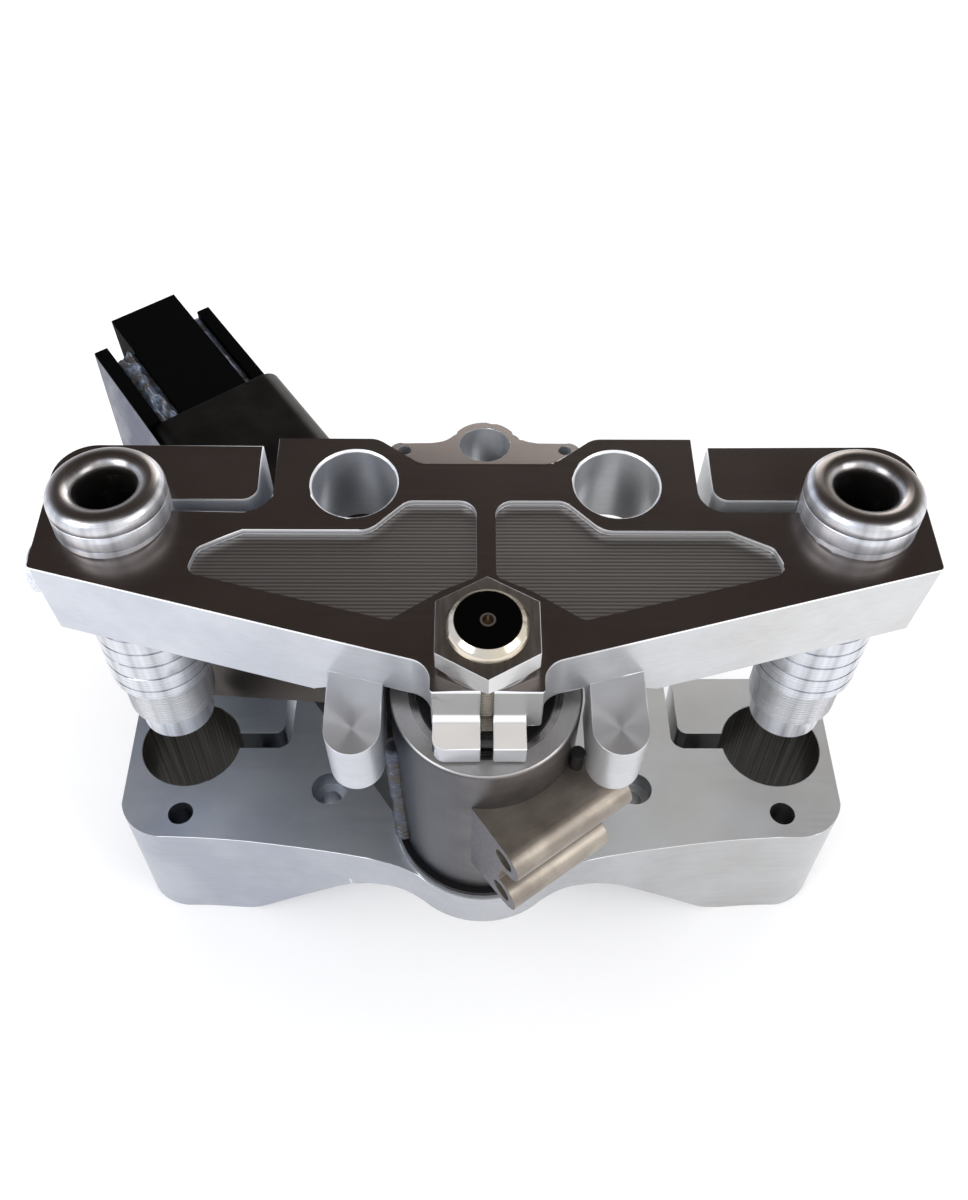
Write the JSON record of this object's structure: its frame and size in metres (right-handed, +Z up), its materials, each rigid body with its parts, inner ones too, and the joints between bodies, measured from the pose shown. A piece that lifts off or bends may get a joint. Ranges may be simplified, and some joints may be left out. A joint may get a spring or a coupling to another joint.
{
  "type": "motorcycle triple clamp",
  "caption": "Raked motorcycle triple clamp: billet upper and lower fork clamps on a steering stem, with a cut-off frame neck turning between them.",
  "frame": {"origin": "midway between the fork axes, on the flat underside of the lower clamp", "axes": "+Z up along the fork axes, +X to the right across the forks, +Y to the rear; the stem leans 7 degrees from +Z towards -Y"},
  "size_m": [0.3237, 0.3015, 0.2154],
  "materials": {
    "clamp": "machined",
    "cap": "polished",
    "steel": "machined",
    "screw": "black oxide",
    "seal": "matt",
    "frame": "raw",
    "black": "matt black",
    "bead": "as welded"
  },
  "bodies": {
    "clamps": {"upper_clamp": "clamp", "lower_clamp": "clamp", "end_button": "steel", "steering_stem": "steel", "stem_nut": "steel", "bearing_adjuster": "steel", "upper_dust_seal": "seal", "lower_dust_seal": "seal", "upper_bearing_cone": "steel", "upper_bearing_rollers": "steel", "lower_bearing_cone": "steel", "lower_bearing_rollers": "steel", "stem_pinch_screw": "screw", "upper_pinch_screw_left": "screw", "upper_pinch_screw_right": "screw", "lower_pinch_screws_left": "screw", "lower_pinch_screws_right": "screw", "fork_stub_left": "cap", "fork_stub_right": "cap", "cap_ring_left": "cap", "cap_ring_right": "cap", "fork_cap_left": "cap", "fork_cap_right": "cap"},
    "neck": {"neck_tube": "frame", "arm_tube": "frame", "arm_left_rail": "black", "arm_right_rail": "black", "arm_block": "black", "rail_weld_left": "bead", "rail_weld_right": "bead", "arm_gusset": "frame", "neck_weld": "bead", "neck_bracket": "frame", "bracket_peg": "screw", "upper_bearing_race": "steel", "lower_bearing_race": "steel"}
  },
  "joints": [
    {"name": "steering", "type": "hinge", "parent": "clamps", "child": "neck", "pos_m": [0, -0.05161, 0.19579], "axis": [0, -0.1219, 0.9925], "range_deg": [-70.6, 0]}
  ]
}
